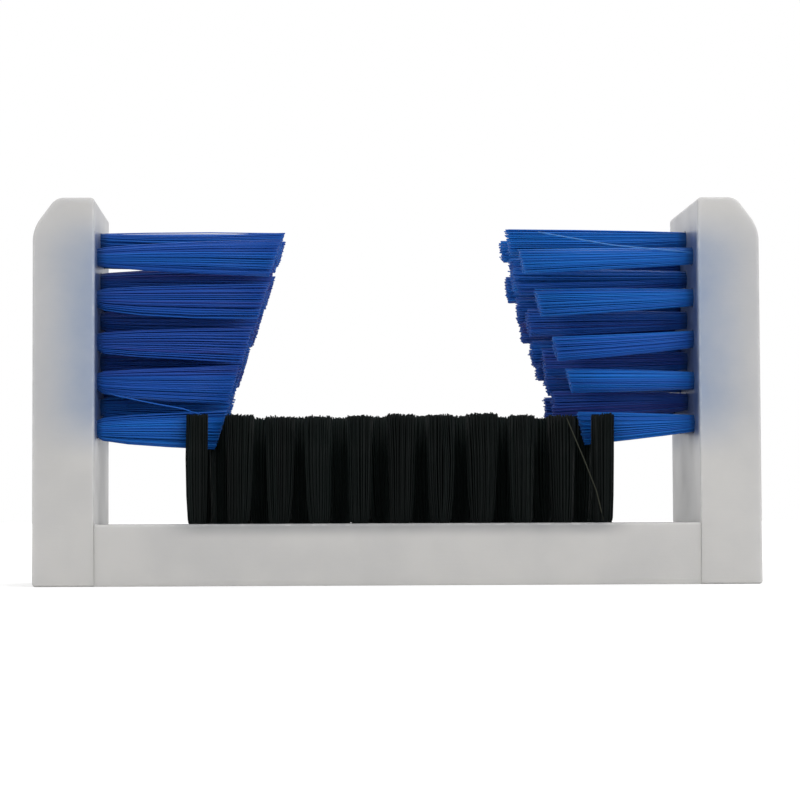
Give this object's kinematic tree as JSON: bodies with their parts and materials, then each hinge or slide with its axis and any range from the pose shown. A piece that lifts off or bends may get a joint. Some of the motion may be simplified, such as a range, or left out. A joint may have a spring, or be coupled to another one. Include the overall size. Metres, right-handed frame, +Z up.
{
  "type": "club groove brush",
  "caption": "U-shaped plastic block with slant-trimmed blue bristles on the inner faces of both arms and upright black bristles on the base, for scrubbing a golf club's head and grooves.",
  "frame": {"origin": "centre of the bottom face, on the surface that the brush stands on", "axes": "+X to the right from arm to arm, +Y to the back along the way a club passes, +Z up along the arms"},
  "size_m": [0.15, 0.038, 0.08],
  "materials": {
    "frame_plastic": "natural translucent sheet, satin, sawn edges",
    "blue_bristle": "extruded filament with a soft sheen",
    "black_bristle": "extruded filament with a soft sheen",
    "anchor_wire": "flat drawn wire",
    "screw_steel": "plain stainless"
  },
  "bodies": {
    "root": {"base_board": "frame_plastic", "left_arm_board": "frame_plastic", "right_arm_board": "frame_plastic", "left_blue_row_1": "blue_bristle", "left_blue_row_2": "blue_bristle", "left_blue_row_3": "blue_bristle", "left_blue_row_4": "blue_bristle", "right_blue_row_1": "blue_bristle", "right_blue_row_2": "blue_bristle", "right_blue_row_3": "blue_bristle", "right_blue_row_4": "blue_bristle", "black_row_1": "black_bristle", "black_row_2": "black_bristle", "black_row_3": "black_bristle", "black_row_4": "black_bristle", "left_anchors": "anchor_wire", "right_anchors": "anchor_wire", "base_anchors": "anchor_wire", "left_screws": "screw_steel", "right_screws": "screw_steel"}
  },
  "joints": []
}
